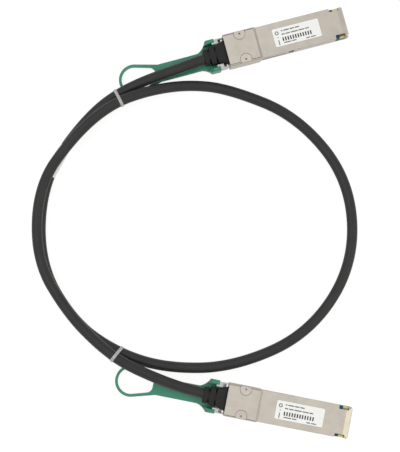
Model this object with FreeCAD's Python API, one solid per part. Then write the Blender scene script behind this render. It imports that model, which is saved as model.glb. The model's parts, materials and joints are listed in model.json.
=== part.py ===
import FreeCAD, Part
import math
import os

from FreeCAD import Placement, Rotation, Vector

# Direct attach copper cable, four lanes: a pluggable module at each end of one round cable.
# Millimetres. Z is up and the parts lie on z = 0. The origin is the middle of the two plugs' box.
# Inside a plug +X points to the mating end, x = 0 is the shell's rear face, y = 0 its middle plane
# and z = 0 the underside of its rear section.

# ---------------------------------------------------------------- where the two plugs lie
PLUG_PLACES = {                      # rear face centre (x, y) on the table and turn about Z
    "a": (-3.73, 98.61, 15.0),
    "b": (-3.93, -103.29, -11.1),
}

# ---------------------------------------------------------------- shell
SHELL_LENGTH = 72.4                  # rear face to front rim
CARD_WIDTH = 16.4
CARD_SIDE_GAP = 0.1                  # between the card's side and the shell's wall
FRONT_WALL = 0.875                   # shell beside the card
FRONT_CAVITY = CARD_WIDTH + 2.0 * CARD_SIDE_GAP
NOSE_WIDTH = FRONT_CAVITY + 2.0 * FRONT_WALL      # the part that enters the cage
REAR_STEP = 0.425                    # rear section stands this much outside the nose, each side
REAR_WIDTH = NOSE_WIDTH + 2.0 * REAR_STEP
NOSE_HEIGHT = 8.5
NOSE_LIFT = 2.2                      # rear section hangs this much below the nose
REAR_LENGTH = 17.5
REAR_RISE = 1.2                      # rear section stands this much above the nose
TOP_RAMP = 1.5                       # length of the sloped step on top
UNDER_RAMP = 2.2                     # length of the sloped step underneath
SHELL_ROUND = 0.7                    # long outer edges
FLOOR = 1.3
COVER_PLATE = 1.3
COVER_SKIRT = 2.0                    # depth of the cover on the nose's sides
REAR_LIP = 0.8                       # shell rim beside the cover's rear plate
REAR_CAVITY = 14.4                   # clear width for the boot, wires and springs
CARD_BAY_START = 42.5                # the cavity widens here
SEAM = 0.12                          # visible joint between cover and shell
SEAM_GROOVE = 0.3
SEAM_NOTCHES = ((20.9, 23.6), (41.5, 42.3))      # small openings at the joint on each side
SEAM_NOTCH_HEIGHT = 1.5
SEAM_NOTCH_DEPTH = 0.6

FRONT_BEVEL = 3.0                    # sloped strip behind the front rim
FRONT_BEVEL_DROP = 0.8
FRONT_RIM = 0.3
LEAD_IN = 0.5                        # chamfer under the front rim
NOTCH_LENGTH = 6.0                   # corner windows that show the card
NOTCH_DEPTH = 2.1
NOTCH_BEHIND_FRONT = 1.9
NOTCH_ROUND = 0.6
CORNER_POST_RISE = 0.75              # front corner posts above the card's middle plane

# ---------------------------------------------------------------- rivets that hold the cover
RIVET_X = 9.8
RIVET_INSET = 1.85                   # rivet's middle from the rear section's side
RIVET_HEAD_RADIUS = 3.3
RIVET_HEAD_THICK = 0.85
RIVET_GROOVE = 0.2
RIVET_SHANK_RADIUS = 0.9
RIVET_SHANK_LENGTH = 2.6
RIVET_DIMPLE_RADIUS = 0.6
RIVET_DIMPLE_DEPTH = 1.6
RIVET_POST_RADIUS = 1.9

# ---------------------------------------------------------------- card
CARD_THICK = 1.0
CARD_REAR = 38.0
CARD_RECESS = 1.3                    # card edge behind the front rim
CARD_CORNER = 0.8
CARD_KEY_X = 55.0                    # side notches that locate the card
CARD_KEY_LENGTH = 3.0
CARD_KEY_DEPTH = 1.0
KEY_CLEARANCE = 0.15
CARD_EAR_GAP = 0.2                   # round the card's side ears in the corner windows
LEDGE_GAP = 0.5                      # from the potting to the shelves under the card
LEDGE_LENGTH = 14.0
LEDGE_WIDTH = 1.4
PADS_PER_SIDE = 19
PAD_PITCH = 0.8
PAD_WIDTH = 0.56
PAD_LENGTH = 3.4
PAD_THICK = 0.06
PAD_SETBACK = 0.5
EDGE_PAD_WIDTH = 1.1                 # ground pad on each side ear
CHIP = (4.4, 3.0, 0.9)
CHIP_X = 52.0

# ---------------------------------------------------------------- wires and their fixings
CABLE_DIAMETER = 6.2
CABLE_END_X = 6.0                    # jacket is cut off here, inside the ferrule
PAIR_WIDTH = 1.2
PAIR_HEIGHT = 0.95
PAIRS_PER_ROW = 4
PAIR_GAP = 0.1
FAN_START_X = 9.0
FAN_END_X = 34.0
PAIR_CARD_PITCH = 3.5
POTTING_REAR = 37.0
POTTING_FRONT = 44.0
POTTING_WIDTH = 14.0
POTTING_COVER = 1.6                  # potting above and below the card

FERRULE_WALL = 0.6
FERRULE_START_X = 0.6
FERRULE_END_X = 8.3
FLANGE = (9.4, 7.7, 2.5)             # width, height and corner radius
FLANGE_THICK = 1.2
CRADLE_THICK = 1.2
CRADLE_CLEARANCE = 0.1

# ---------------------------------------------------------------- boot
BOOT_BLOCK_FRONT = 5.5
BOOT_FIT = 0.1
BOOT_MOUTH = (14.0, 8.2, 1.6)        # width, height and corner radius at the shell
BOOT_NECK = (10.2, 7.2, 2.2)
BOOT_TAPER_END = -5.9
BOOT_RIBS = ((-6.8, -9.8, 10.6), (-10.9, -13.3, 9.4))   # front x, rear x, width
BOOT_CORE_WIDTH = 8.0
BOOT_CORE_HEIGHT = 6.9

# ---------------------------------------------------------------- latch slider and its springs
ARM_THICK = 0.6
ARM_INSET = 0.25                     # arm face under the nose's side
ARM_HEIGHT = 4.0
ARM_LOW = 1.7                        # arm edge above the nose's underside
ARM_TIP_X = 36.0
ARM_TAIL_X = -9.5
ARM_SIDE_GAP = 0.15
ARM_EDGE_GAP = 0.3
CAM_RISE = 0.2
CAM_LENGTH = 2.0
POCKET_END_X = 38.9
POCKET_LENGTH = 5.5
POCKET_EXTRA = 0.3
TRAVEL = 2.5                         # pull that releases the latch
STOP_GAP = 0.15
BRIDGE_FRONT_X = -0.9
BRIDGE_REAR_X = -8.6
BRIDGE_Z = 1.1
HOOD_INNER = 6.2                     # top flange beside the boot's taper
HOOD_FRONT_X = -3.2
HOOD_REAR_X = -7.0
LUG_X = 15.9                         # spring seat on the slider
LUG_REACH = 3.5
LUG_HEIGHT = 2.1
SPRING_Y = 4.6
SPRING_Z = 4.0
SPRING_OUTER = 2.0
SPRING_WIRE = 0.3
SPRING_TURNS = 5.5
SPRING_STEPS_PER_TURN = 12
SPRING_WIRE_SIDES = 6

# ---------------------------------------------------------------- pull tab
PRISM_HALF = 20.0                    # half height of the tall prisms that are trimmed to shape
TAB_THICK = 2.0
TAB_FLOAT = 0.45                     # strap above the table
TAB_FRONT_X = -5.3
TAB_OFFSET = -0.8                    # strap and loop lie a little to one side
EAR_WALL = 2.5
EAR_TOP = 8.4
EAR_ROUND = 1.0
EAR_REAR_X = -10.6
EAR_FOOT_X = -12.8
STRAP_HALF = 5.2
FLARE_END_X = -16.0
LOOP_START_X = -40.5
LOOP_CENTRE_X = -55.9
LOOP_RADIUS = 9.1
LOOP_BAR = 1.6
LOOP_WEB_X = -42.8                   # front edge of the finger opening
LOOP_WEB_ROUND = 3.7
TAB_BEND_X = (-10.0, -22.0)          # strap bends down towards the table here

# ---------------------------------------------------------------- label on the cover
LABEL_LENGTH = 28.0
LABEL_WIDTH = 10.7
LABEL_THICK = 0.1
LABEL_BEHIND_FRONT = 15.6
LABEL_ROUND = 0.8

# ---------------------------------------------------------------- cable, ties and cable label
CABLE_POINTS = (                     # corners of the route from plug b round to plug a
    (-57.6, -85.9, 10.6), (-74.8, -74.4, 11.2), (-95.0, -54.2, 10.4),
    (-113.6, -23.3, 9.9), (-112.7, 19.8, 10.1), (-92.2, 48.6, 11.4), (-71.5, 66.6, 12.8),
    (-49.8, 75.5, 9.5), (-25.8, 80.0, 4.8), (-1.5, 77.7, 3.2), (38.7, 61.4, 3.2),
    (68.9, 24.0, 3.2), (71.3, -25.3, 3.2), (44.7, -66.2, 3.2), (0.6, -85.4, 3.2),
    (-38.6, -85.9, 3.5), (-67.1, -76.8, 4.8), (-92.3, -59.2, 3.9), (-112.8, -24.5, 3.2),
    (-110.9, 23.6, 3.3), (-87.7, 57.7, 4.8), (-64.9, 76.7, 6.8),
)
CABLE_LEADS = {                      # corners inside each plug's own frame, from the ferrule outwards
    "a": ((-6.0, 0.0), (-23.0, -1.6)),
    "b": ((-20.0, 0.0),),
}
ARC_RATIO = 0.45                     # of the shorter run beside a corner
TIE_WIDTH = 2.05
TIE_THICK = 0.5
TIE_CLEARANCE = 0.34
TIES = {                             # point beside both strands and the strands' direction
    "tie_top": ((-66.2, 71.2, 9.0), (0.90, 0.44, 0.0)),
    "tie_bottom": ((-66.8, -77.8, 7.5), (-0.79, 0.61, 0.0)),
}
SLEEVE_THICK = 0.15
SLEEVE_LENGTH = 20.0
SLEEVE_CORNER = 21                   # corner of the route that the sleeve starts at
SLEEVE_ADVANCE = 6.0

# ---------------------------------------------------------------- worked out from the sizes
NOSE_TOP = NOSE_LIFT + NOSE_HEIGHT
REAR_TOP = NOSE_TOP + REAR_RISE
NOSE_FLOOR = NOSE_LIFT + FLOOR
COVER_UNDER = NOSE_TOP - COVER_PLATE
SEAM_Z = NOSE_TOP - COVER_SKIRT
REAR_LEDGE_Z = REAR_TOP - COVER_PLATE - 0.2
MID_Z = NOSE_LIFT + NOSE_HEIGHT / 2.0
CARD_TOP = MID_Z + CARD_THICK / 2.0
CARD_UNDER = MID_Z - CARD_THICK / 2.0
CARD_FRONT = SHELL_LENGTH - CARD_RECESS
CARD_EAR_END = SHELL_LENGTH - NOTCH_BEHIND_FRONT - CARD_EAR_GAP
CARD_EAR_START = CARD_EAR_END - NOTCH_LENGTH + 2.0 * CARD_EAR_GAP
REAR_HALF = REAR_WIDTH / 2.0
NOSE_HALF = NOSE_WIDTH / 2.0
CARD_EAR_HALF = NOSE_HALF - CARD_EAR_GAP
EAR_HALF = REAR_HALF
RIVET_Y = REAR_HALF - RIVET_INSET
RAMP_START = REAR_LENGTH + 0.8
ARM_OUTER = NOSE_HALF - ARM_INSET
ARM_INNER = ARM_OUTER - ARM_THICK
ARM_Z0 = NOSE_LIFT + ARM_LOW
ARM_Z1 = ARM_Z0 + ARM_HEIGHT
FERRULE_OUTER = CABLE_DIAMETER + 2.0 * FERRULE_WALL
FLANGE_X = BOOT_BLOCK_FRONT + BOOT_FIT
CRADLE_X = FLANGE_X + FLANGE_THICK + BOOT_FIT
CRADLE_FRONT = CRADLE_X + CRADLE_THICK
NOSE_CONTACT_X = SHELL_LENGTH - LEAD_IN
PITCH = math.degrees(math.atan2(NOSE_LIFT, NOSE_CONTACT_X - REAR_LENGTH))
SLOPE = math.tan(math.radians(PITCH))


# ================================================================ small shape helpers
def box(x0, x1, y0, y1, z0, z1):
    """Block between two opposite corners."""
    return Part.makeBox(x1 - x0, y1 - y0, z1 - z0, Vector(x0, y0, z0))


def mirrored(shape):
    """The same shape on the other side of the plug's middle plane."""
    return shape.mirror(Vector(0, 0, 0), Vector(0, 1, 0))


def both_sides(shape):
    return [shape, mirrored(shape)]


def face_of(points):
    return Part.Face(Part.makePolygon(points + points[:1]))


def side_profile(points, half_width):
    """Prism across the plug from (x, z) points."""
    face = face_of([Vector(x, -half_width, z) for x, z in points])
    return face.extrude(Vector(0, 2.0 * half_width, 0))


def plan_prism(points, z0, z1):
    """Upright prism from (x, y) points."""
    face = face_of([Vector(x, y, z0) for x, y in points])
    return face.extrude(Vector(0, 0, z1 - z0))


def cylinder_x(radius, x0, x1, y, z):
    return Part.makeCylinder(radius, x1 - x0, Vector(x0, y, z), Vector(1, 0, 0))


def cylinder_z(radius, x, y, z0, z1):
    return Part.makeCylinder(radius, z1 - z0, Vector(x, y, z0))


def rounded_section(x, width, height, radius, y=0.0, z=MID_Z):
    """Closed wire across the plug: a rectangle with round corners, centred at (y, z)."""
    block = Part.makeBox(1.0, width, height, Vector(x, y - width / 2.0, z - height / 2.0))
    long_edges = [e for e in block.Edges if abs(e.tangentAt(e.FirstParameter).x) > 0.9]
    block = block.makeFillet(radius, long_edges)
    ends = [f for f in block.Faces if abs(f.CenterOfMass.x - x) < 1e-6]
    return ends[0].OuterWire


def loft(wires, ruled=True):
    return Part.makeLoft(wires, True, ruled)


def fillet_edges(shape, radius, wanted):
    return shape.makeFillet(radius, [e for e in shape.Edges if wanted(e)])


def fuse(shapes):
    result = shapes[0]
    for shape in shapes[1:]:
        result = result.fuse(shape)
    return result.removeSplitter()


# ================================================================ shell and cover
def outer_form():
    """Whole outside of the closed plug: thick rear section, ramps, nose and bevelled front."""
    bevel_start = SHELL_LENGTH - FRONT_RIM - FRONT_BEVEL
    rim_start = SHELL_LENGTH - FRONT_RIM
    rim_top = NOSE_TOP - FRONT_BEVEL_DROP
    side = [
        (0, 0), (REAR_LENGTH, 0), (REAR_LENGTH + UNDER_RAMP, NOSE_LIFT),
        (NOSE_CONTACT_X, NOSE_LIFT), (SHELL_LENGTH, NOSE_LIFT + LEAD_IN),
        (SHELL_LENGTH, rim_top), (rim_start, rim_top), (bevel_start, NOSE_TOP),
        (RAMP_START + TOP_RAMP, NOSE_TOP), (RAMP_START, REAR_TOP), (0, REAR_TOP),
    ]
    plan = [
        (0, -REAR_HALF), (RAMP_START, -REAR_HALF), (RAMP_START + TOP_RAMP, -NOSE_HALF),
        (SHELL_LENGTH, -NOSE_HALF), (SHELL_LENGTH, NOSE_HALF),
        (RAMP_START + TOP_RAMP, NOSE_HALF), (RAMP_START, REAR_HALF), (0, REAR_HALF),
    ]
    form = side_profile(side, REAR_HALF + 1.0).common(plan_prism(plan, -1.0, REAR_TOP + 1.0))

    def long_rear_edge(edge):
        low, high = edge.BoundBox.XMin, edge.BoundBox.XMax
        return low < 0.01 and abs(high - REAR_LENGTH) < 1.0 and edge.BoundBox.YLength < 0.01

    return fillet_edges(form, SHELL_ROUND, long_rear_edge)


def cover_zone():
    """Space that the cover fills: a plate between rims at the rear, a full-width cap on the nose."""
    rear_half = REAR_HALF - REAR_LIP - SEAM
    rear = box(-1.0, RAMP_START, -rear_half, rear_half, REAR_LEDGE_Z, REAR_TOP + 1.0)
    nose = box(RAMP_START, SHELL_LENGTH + 1.0, -NOSE_HALF - 1.0, NOSE_HALF + 1.0, SEAM_Z, REAR_TOP + 1.0)
    return rear.fuse(nose)


def cavity():
    """Hollow for the boot, wires, springs and card, open at both ends."""
    rear_half = REAR_CAVITY / 2.0
    rear = box(-1.0, RAMP_START, -rear_half, rear_half, FLOOR, REAR_LEDGE_Z)
    middle = box(RAMP_START, CARD_BAY_START, -rear_half, rear_half, NOSE_FLOOR, COVER_UNDER)
    bay_half = FRONT_CAVITY / 2.0
    bay = box(CARD_BAY_START, SHELL_LENGTH + 1.0, -bay_half, bay_half, NOSE_FLOOR, COVER_UNDER)
    return fuse([rear, middle, bay])


def corner_windows():
    """Cutters for the two windows at the front corners and for the tops of the posts before them."""
    x1 = SHELL_LENGTH - NOTCH_BEHIND_FRONT
    inner = NOSE_HALF - NOTCH_DEPTH
    cutter = box(x1 - NOTCH_LENGTH, x1, inner, NOSE_HALF + 1.0, NOSE_FLOOR, NOSE_TOP + 1.0)
    post_top = box(x1 - NOTCH_ROUND, SHELL_LENGTH + 1.0, FRONT_CAVITY / 2.0, NOSE_HALF + 1.0,
                   MID_Z + CORNER_POST_RISE, NOSE_TOP + 1.0)

    def inner_upright(edge):
        return edge.BoundBox.ZLength > 1.0 and abs(edge.BoundBox.YMin - inner) < 1e-6

    return both_sides(fillet_edges(cutter, NOTCH_ROUND, inner_upright)) + both_sides(post_top)


def seam_notches():
    """Cutters for the small openings where the cover meets the shell's sides."""
    low = ARM_Z1 + ARM_EDGE_GAP
    inner = NOSE_HALF - SEAM_NOTCH_DEPTH
    notches = []
    for x0, x1 in SEAM_NOTCHES:
        notch = box(x0, x1, inner, NOSE_HALF + 1.0, low, low + SEAM_NOTCH_HEIGHT)
        notches += both_sides(notch)
    return notches


def rivet_pockets(radius, depth):
    low = REAR_TOP - depth
    return [cylinder_z(radius, RIVET_X, side * RIVET_Y, low, REAR_TOP + 1.0) for side in (-1, 1)]


def rivet_holes():
    low = REAR_TOP - RIVET_HEAD_THICK - RIVET_SHANK_LENGTH
    return [cylinder_z(RIVET_SHANK_RADIUS, RIVET_X, side * RIVET_Y, low, REAR_TOP) for side in (-1, 1)]


def arm_channels():
    """Cutters for the slider: closed channels in the rear section, open grooves along the nose."""
    inner = ARM_INNER - ARM_SIDE_GAP
    z0 = ARM_Z0 - ARM_EDGE_GAP
    z1 = ARM_Z1 + ARM_EDGE_GAP
    closed = box(-1.0, RAMP_START + TOP_RAMP, inner, ARM_OUTER + ARM_SIDE_GAP, z0, z1)
    groove = box(RAMP_START + TOP_RAMP, POCKET_END_X, inner, NOSE_HALF + 1.0, z0, z1)
    pocket_start = POCKET_END_X - POCKET_LENGTH
    pocket = box(pocket_start, POCKET_END_X, inner - POCKET_EXTRA, NOSE_HALF + 1.0, z0, SEAM_Z)
    window = box(
        LUG_X - TRAVEL - STOP_GAP, LUG_X + ARM_THICK + STOP_GAP,
        REAR_CAVITY / 2.0 - 0.1, inner + 0.1,
        z0, ARM_Z0 + LUG_HEIGHT / 2.0 + ARM_EDGE_GAP,
    )
    return [shape for cut in (closed, groove, pocket, window) for shape in both_sides(cut)]


def cradle():
    """Wall across the rear cavity: holds the ferrule in a half-round seat and backs the springs."""
    half = REAR_CAVITY / 2.0
    wall = box(CRADLE_X, CRADLE_FRONT, -half, half, FLOOR, MID_Z)
    seat = cylinder_x(FERRULE_OUTER / 2.0 + CRADLE_CLEARANCE, CRADLE_X, CRADLE_FRONT, 0, MID_Z)
    return wall.cut(seat)


def card_ledges():
    """Shelves under the card's edges, each with a key that fits the card's side notch."""
    half = FRONT_CAVITY / 2.0
    x0 = POTTING_FRONT + LEDGE_GAP
    shelf = box(x0, x0 + LEDGE_LENGTH, half - LEDGE_WIDTH, half, NOSE_FLOOR, CARD_UNDER)
    reach = CARD_KEY_DEPTH - KEY_CLEARANCE
    key_half = CARD_KEY_LENGTH / 2.0 - KEY_CLEARANCE
    key = box(
        CARD_KEY_X - key_half, CARD_KEY_X + key_half,
        CARD_WIDTH / 2.0 - reach, half, NOSE_FLOOR, CARD_TOP,
    )
    return both_sides(shelf) + both_sides(key)


def rivet_posts():
    """Half-round posts on the walls that take the rivet shanks."""
    return [cylinder_z(RIVET_POST_RADIUS, RIVET_X, side * RIVET_Y, FLOOR, REAR_LEDGE_Z) for side in (-1, 1)]


def bottom_shell(form):
    shell = form.cut(cover_zone()).cut(cavity())
    rims = [
        box(-1.0, RAMP_START, side * (REAR_HALF - REAR_LIP) - SEAM, side * (REAR_HALF - REAR_LIP) + SEAM,
            REAR_LEDGE_Z, REAR_TOP + 1.0)
        for side in (-1, 1)
    ]
    shell = shell.cut(Part.makeCompound(rims))
    shell = fuse([shell, cradle()] + card_ledges() + rivet_posts())
    cutters = arm_channels() + seam_notches() + corner_windows() + rivet_holes()
    cutters += rivet_pockets(RIVET_HEAD_RADIUS + RIVET_GROOVE, RIVET_HEAD_THICK)
    for cutter in cutters:
        shell = shell.cut(cutter)
    return shell.removeSplitter()


def top_cover(form):
    cover = form.common(cover_zone()).cut(cavity())
    groove = box(RAMP_START + TOP_RAMP, SHELL_LENGTH, NOSE_HALF - SEAM_GROOVE, NOSE_HALF + 1.0,
                 SEAM_Z - 1.0, SEAM_Z + SEAM_GROOVE)
    cutters = both_sides(groove) + seam_notches() + corner_windows() + rivet_holes()
    cutters += rivet_pockets(RIVET_HEAD_RADIUS + RIVET_GROOVE, RIVET_HEAD_THICK)
    for cutter in cutters:
        cover = cover.cut(cutter)
    return cover.removeSplitter()


def cover_rivets(form):
    """Two flush rivets, their heads trimmed by the shell's sides, each with a centre dimple."""
    head_z = REAR_TOP - RIVET_HEAD_THICK
    rivets = []
    for side in (-1, 1):
        y = side * RIVET_Y
        head = cylinder_z(RIVET_HEAD_RADIUS, RIVET_X, y, head_z, REAR_TOP).common(form)
        shank = cylinder_z(RIVET_SHANK_RADIUS, RIVET_X, y, head_z - RIVET_SHANK_LENGTH, head_z)
        dimple = cylinder_z(RIVET_DIMPLE_RADIUS, RIVET_X, y, REAR_TOP - RIVET_DIMPLE_DEPTH, REAR_TOP)
        rivets.append(head.fuse(shank).removeSplitter().cut(dimple))
    return Part.makeCompound(rivets)


# ================================================================ card and wires
def paddle_card():
    """Card with side ears that sit in the corner windows and notches that fit the shell's keys."""
    half = CARD_WIDTH / 2.0
    outline = [
        (CARD_REAR, -half), (CARD_FRONT - CARD_CORNER, -half), (CARD_FRONT, -half + CARD_CORNER),
        (CARD_FRONT, half - CARD_CORNER), (CARD_FRONT - CARD_CORNER, half), (CARD_REAR, half),
    ]
    card = plan_prism(outline, CARD_UNDER, CARD_TOP)
    ears = box(CARD_EAR_START, CARD_EAR_END, -CARD_EAR_HALF, CARD_EAR_HALF, CARD_UNDER, CARD_TOP)
    card = card.fuse(ears).removeSplitter()
    x0 = CARD_KEY_X - CARD_KEY_LENGTH / 2.0
    inner = half - CARD_KEY_DEPTH
    notch = box(x0, x0 + CARD_KEY_LENGTH, inner, half + 1.0, CARD_UNDER - 1.0, CARD_TOP + 1.0)
    for cutter in both_sides(notch):
        card = card.cut(cutter)
    tail_half = REAR_CAVITY / 2.0 - KEY_CLEARANCE
    waist = box(CARD_REAR - 1.0, CARD_BAY_START + KEY_CLEARANCE, tail_half, half + 1.0,
                CARD_UNDER - 1.0, CARD_TOP + 1.0)
    for cutter in both_sides(waist):
        card = card.cut(cutter)
    return card


def contact_pads():
    """Gold fingers on both faces of the card's front edge."""
    pads = []
    x1 = CARD_FRONT - PAD_SETBACK
    for index in range(PADS_PER_SIDE):
        y = (index - (PADS_PER_SIDE - 1) / 2.0) * PAD_PITCH
        for z in (CARD_TOP, CARD_UNDER - PAD_THICK):
            pads.append(box(x1 - PAD_LENGTH, x1, y - PAD_WIDTH / 2.0, y + PAD_WIDTH / 2.0, z, z + PAD_THICK))
    for z in (CARD_TOP, CARD_UNDER - PAD_THICK):
        edge_pad = box(x1 - PAD_LENGTH, CARD_EAR_END, CARD_EAR_HALF - EDGE_PAD_WIDTH, CARD_EAR_HALF,
                       z, z + PAD_THICK)
        pads += both_sides(edge_pad)
    return Part.makeCompound(pads)


def memory_chip():
    length, width, height = CHIP
    return box(CHIP_X, CHIP_X + length, -width / 2.0, width / 2.0, CARD_TOP, CARD_TOP + height)


def wire_pairs():
    """Eight shielded pairs: a tight bundle out of the jacket that fans out to both card faces."""
    pairs = []
    bundle_pitch = PAIR_WIDTH + PAIR_GAP
    rows = (
        (MID_Z + (PAIR_HEIGHT + PAIR_GAP) / 2.0, CARD_TOP + PAIR_HEIGHT / 2.0),
        (MID_Z - (PAIR_HEIGHT + PAIR_GAP) / 2.0, CARD_UNDER - PAIR_HEIGHT / 2.0),
    )
    for z_bundle, z_card in rows:
        for index in range(PAIRS_PER_ROW):
            step = index - (PAIRS_PER_ROW - 1) / 2.0
            stations = (
                (CABLE_END_X, step * bundle_pitch, z_bundle), (FAN_START_X, step * bundle_pitch, z_bundle),
                (FAN_END_X, step * PAIR_CARD_PITCH, z_card), (POTTING_REAR, step * PAIR_CARD_PITCH, z_card),
            )
            radius = PAIR_HEIGHT * 0.48
            wires = [rounded_section(x, PAIR_WIDTH, PAIR_HEIGHT, radius, y, z) for x, y, z in stations]
            pairs.append(loft(wires))
    return Part.makeCompound(pairs)


def wire_potting(card):
    half = POTTING_WIDTH / 2.0
    low = CARD_UNDER - POTTING_COVER
    high = CARD_TOP + POTTING_COVER
    block = box(POTTING_REAR, POTTING_FRONT, -half, half, low, high)
    block = fillet_edges(block, 0.6, lambda e: e.BoundBox.XLength > 1.0)
    return block.cut(card)


def crimp_ferrule():
    """Sleeve crimped on the jacket, with the flange that anchors it behind the cradle."""
    sleeve = cylinder_x(FERRULE_OUTER / 2.0, FERRULE_START_X, FERRULE_END_X, 0, MID_Z)
    flange = Part.Face(rounded_section(FLANGE_X, *FLANGE)).extrude(Vector(FLANGE_THICK, 0, 0))
    bore = cylinder_x(CABLE_DIAMETER / 2.0, FERRULE_START_X, FERRULE_END_X, 0, MID_Z)
    return sleeve.fuse(flange).removeSplitter().cut(bore)


def strain_relief():
    """Boot moulded on the cable, still solid: a block in the shell, a taper and two ribs on a core."""
    half = REAR_CAVITY / 2.0 - BOOT_FIT
    block = box(-BOOT_FIT, BOOT_BLOCK_FRONT, -half, half, FLOOR + BOOT_FIT, REAR_LEDGE_Z - BOOT_FIT)
    taper = loft([rounded_section(BOOT_TAPER_END, *BOOT_NECK), rounded_section(-BOOT_FIT, *BOOT_MOUTH)])
    rib_rear = BOOT_RIBS[-1][1]
    core = loft([
        rounded_section(rib_rear, BOOT_CORE_WIDTH, BOOT_CORE_HEIGHT, 3.0),
        rounded_section(BOOT_TAPER_END + 0.1, BOOT_CORE_WIDTH, BOOT_CORE_HEIGHT, 3.0),
    ])
    ribs = []
    for front, rear, width in BOOT_RIBS:
        rib = loft([rounded_section(rear, width, BOOT_NECK[1], BOOT_NECK[2]),
                    rounded_section(front, width, BOOT_NECK[1], BOOT_NECK[2])])
        ribs.append(rib)
    boot = fuse([block, taper, core] + ribs)
    ferrule_bore = cylinder_x(FERRULE_OUTER / 2.0, FERRULE_START_X, BOOT_BLOCK_FRONT + 1.0, 0, MID_Z)
    return boot.cut(ferrule_bore)


# ================================================================ release mechanism
def latch_slider():
    """Sheet-metal slider: two side arms with cam tips, a bridge under the boot and spring lugs."""
    arm_plan = [
        (ARM_TAIL_X, ARM_INNER), (ARM_TIP_X - CAM_LENGTH, ARM_INNER), (ARM_TIP_X, ARM_INNER + CAM_RISE),
        (ARM_TIP_X, ARM_OUTER + CAM_RISE), (ARM_TIP_X - CAM_LENGTH / 2.0, ARM_OUTER + CAM_RISE),
        (ARM_TIP_X - CAM_LENGTH, ARM_OUTER), (ARM_TAIL_X, ARM_OUTER),
    ]
    arm = plan_prism(arm_plan, ARM_Z0, ARM_Z1)
    cheek = box(BRIDGE_REAR_X, BRIDGE_FRONT_X, ARM_INNER, ARM_OUTER, BRIDGE_Z, ARM_Z1)
    hood = box(HOOD_REAR_X, HOOD_FRONT_X, HOOD_INNER, ARM_OUTER, ARM_Z1 - ARM_THICK, ARM_Z1)
    half_lug = LUG_HEIGHT / 2.0
    lug_stem = box(LUG_X, LUG_X + ARM_THICK, LUG_REACH, ARM_INNER + 0.1, ARM_Z0, ARM_Z0 + half_lug)
    lug_plate = box(LUG_X, LUG_X + ARM_THICK, LUG_REACH, LUG_REACH + LUG_HEIGHT,
                    SPRING_Z - half_lug, ARM_Z0 + half_lug)
    halves = []
    for piece in (arm, cheek, hood, lug_stem, lug_plate):
        halves += both_sides(piece)
    bridge = box(BRIDGE_REAR_X, BRIDGE_FRONT_X, -ARM_OUTER, ARM_OUTER, BRIDGE_Z, BRIDGE_Z + ARM_THICK)
    return fuse(halves + [bridge])


def return_spring(side):
    """Round-wire compression spring between the cradle and the slider's lug, with flat-sided wire facets."""
    coil_radius = (SPRING_OUTER - SPRING_WIRE) / 2.0
    wire_radius = SPRING_WIRE / 2.0
    length = LUG_X - CRADLE_FRONT - SPRING_WIRE
    steps = round(SPRING_TURNS * SPRING_STEPS_PER_TURN)
    rise = math.atan2(length / SPRING_TURNS, 2.0 * math.pi * coil_radius)
    rings = []
    for step in range(steps + 1):
        turn = 2.0 * math.pi * SPRING_TURNS * step / steps
        outward = Vector(0, math.cos(turn), math.sin(turn))
        round_way = Vector(0, -math.sin(turn), math.cos(turn))
        across = Vector(math.cos(rise), 0, 0) - round_way * math.sin(rise)
        centre = Vector(length * step / steps, 0, 0) + outward * coil_radius
        ring = []
        for index in range(SPRING_WIRE_SIDES):
            angle = 2.0 * math.pi * index / SPRING_WIRE_SIDES
            spoke = outward * math.cos(angle) + across * math.sin(angle)
            ring.append(centre + spoke * wire_radius)
        rings.append(ring)
    faces = [face_of(rings[0]), face_of(rings[-1])]
    for first, second in zip(rings, rings[1:]):
        for index in range(SPRING_WIRE_SIDES):
            after = (index + 1) % SPRING_WIRE_SIDES
            faces.append(face_of([first[index], first[after], second[after]]))
            faces.append(face_of([first[index], second[after], second[index]]))
    coil = Part.Solid(Part.makeShell(faces))
    if coil.Volume < 0:
        coil.reverse()
    coil.translate(Vector(CRADLE_FRONT + wire_radius, side * SPRING_Y, SPRING_Z))
    return coil


def strap_side():
    """Side view of the strap, thick line that bends down until it runs level with the table."""
    bend_start, bend_end = TAB_BEND_X
    tail_x = LOOP_CENTRE_X - LOOP_RADIUS - 1.0

    def under(x):
        return TAB_FLOAT - (REAR_LENGTH - x) * SLOPE

    low = [
        (TAB_FRONT_X, BRIDGE_Z - 0.7), (bend_start, BRIDGE_Z - 0.8),
        (bend_end, under(bend_end)), (tail_x, under(tail_x)),
    ]
    high = [(x, z + TAB_THICK) for x, z in reversed(low)]
    return low + high


def loop_wire(radius, start_x, start_half, corner):
    """Closed outline of the loop: end arc, two tangent sides and a front edge with round corners."""
    y0 = TAB_OFFSET
    reach = start_x - LOOP_CENTRE_X
    distance = math.hypot(reach, start_half)
    lean = math.asin(radius / distance) - math.atan2(start_half, reach)
    touch = Vector(LOOP_CENTRE_X + radius * math.sin(lean), y0 + radius * math.cos(lean), 0)
    touch_low = Vector(touch.x, 2.0 * y0 - touch.y, 0)
    front = Vector(start_x, y0 + start_half, 0)
    front_low = Vector(start_x, y0 - start_half, 0)
    far = Vector(LOOP_CENTRE_X - radius, y0, 0)
    edges = [
        Part.Arc(touch, far, touch_low).toShape(),
        Part.LineSegment(touch_low, front_low).toShape(),
        Part.LineSegment(front_low, front).toShape(),
        Part.LineSegment(front, touch).toShape(),
    ]
    wall = Part.Face(Part.Wire(edges)).extrude(Vector(0, 0, 2.0 * PRISM_HALF))
    wall.translate(Vector(0, 0, -PRISM_HALF))
    if corner > 0:
        wall = fillet_edges(wall, corner, lambda e: e.BoundBox.ZLength > 1.0
                            and abs(e.BoundBox.XMin - start_x) < 0.01)
    return wall


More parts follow.
